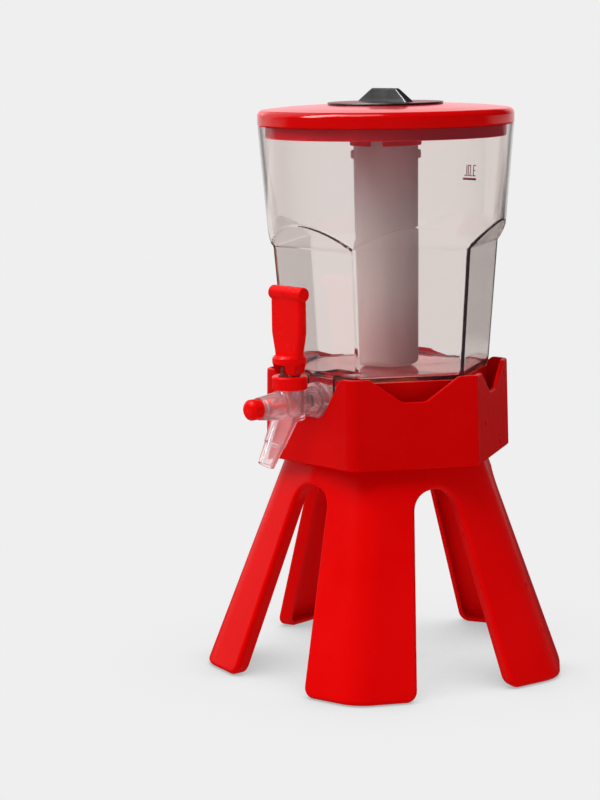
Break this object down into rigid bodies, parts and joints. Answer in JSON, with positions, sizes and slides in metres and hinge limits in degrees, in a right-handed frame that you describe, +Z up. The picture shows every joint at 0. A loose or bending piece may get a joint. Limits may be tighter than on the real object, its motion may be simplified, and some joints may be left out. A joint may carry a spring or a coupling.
{
  "type": "beer tower dispenser",
  "caption": "Clear tank with a lever tap in a hexagonal collar on splayed legs, with a lid that carries an ice tube and a battery light.",
  "frame": {"origin": "on the floor under the tank's axis, the middle of the stand's footprint", "axes": "+Z up along the tank's axis; the tap and its spout point to -Y"},
  "size_m": [0.2723, 0.2834, 0.44],
  "materials": {
    "red_plastic": "glossy moulded plastic, smooth",
    "clear_plastic": "clear slightly smoky moulded plastic, polished",
    "tap_clear": "clear moulded plastic, polished",
    "frosted_plastic": "frosted white translucent plastic",
    "black_plastic": "black moulded plastic, satin",
    "mark_ink": "printed ink",
    "white_plastic": "white moulded plastic, satin",
    "rubber": "matte rubber",
    "silicone": "translucent silicone",
    "steel": "zinc-plated steel",
    "cell_steel": "nickel-plated steel",
    "board": "green solder mask",
    "lens": "clear polished lens",
    "led": "epoxy"
  },
  "bodies": {
    "stand": {"leg_stand": "red_plastic", "collar": "red_plastic", "collar_screws": "steel"},
    "vessel": {"tank": "clear_plastic", "level_mark": "mark_ink", "tap_body": "tap_clear", "bonnet_ring": "red_plastic", "tap_diaphragm": "silicone", "lever_bearing": "tap_clear", "pivot_pin": "steel", "front_plug": "red_plastic", "plug_o_ring": "silicone", "tank_gasket_outer": "silicone", "tank_gasket_inner": "silicone", "tap_lock_nut": "tap_clear"},
    "handle": {"tap_handle": "red_plastic"},
    "valve": {"tap_shaft": "red_plastic", "seat_washer": "rubber"},
    "lid": {"lid": "red_plastic"},
    "tube": {"ice_tube": "frosted_plastic"},
    "cap": {"cap": "black_plastic", "cap_seal": "rubber", "led_housing": "white_plastic", "led_lens": "lens", "led_board": "board", "led_chips": "led", "battery_cells": "cell_steel", "battery_contacts": "steel", "battery_holder": "white_plastic", "battery_door": "white_plastic", "door_screws": "steel"},
    "button": {"light_button": "black_plastic"}
  },
  "joints": [
    {"name": "vessel_lift", "type": "slide", "parent": "stand", "child": "vessel", "axis": [0, 0, 1], "range_m": [0, 0.06]},
    {"name": "lid_lift", "type": "slide", "parent": "vessel", "child": "lid", "axis": [0, 0, 1], "range_m": [0, 0.19]},
    {"name": "tube_twist", "type": "hinge", "parent": "lid", "child": "tube", "pos_m": [0, 0, 0.404], "axis": [0, 0, 1], "range_deg": [0, 30]},
    {"name": "cap_pull", "type": "slide", "parent": "lid", "child": "cap", "axis": [0, 0, 1], "range_m": [0, 0.04]},
    {"name": "button_press", "type": "slide", "parent": "cap", "child": "button", "axis": [0, 0, 1], "range_m": [0, 0.001], "stiffness_N_per_m": 400, "springref_m": -0.0005},
    {"name": "handle_tilt", "type": "hinge", "parent": "vessel", "child": "handle", "pos_m": [0, -0.1, 0.236], "axis": [1, 0, 0], "range_deg": [0, 16]},
    {"name": "valve_slide", "type": "slide", "parent": "vessel", "child": "valve", "axis": [0, 1, 0], "range_m": [0, 0.007]}
  ],
  "couplings": [
    {"joint": "valve_slide", "follows": "handle_tilt", "m_per_rad": 0.0247}
  ]
}
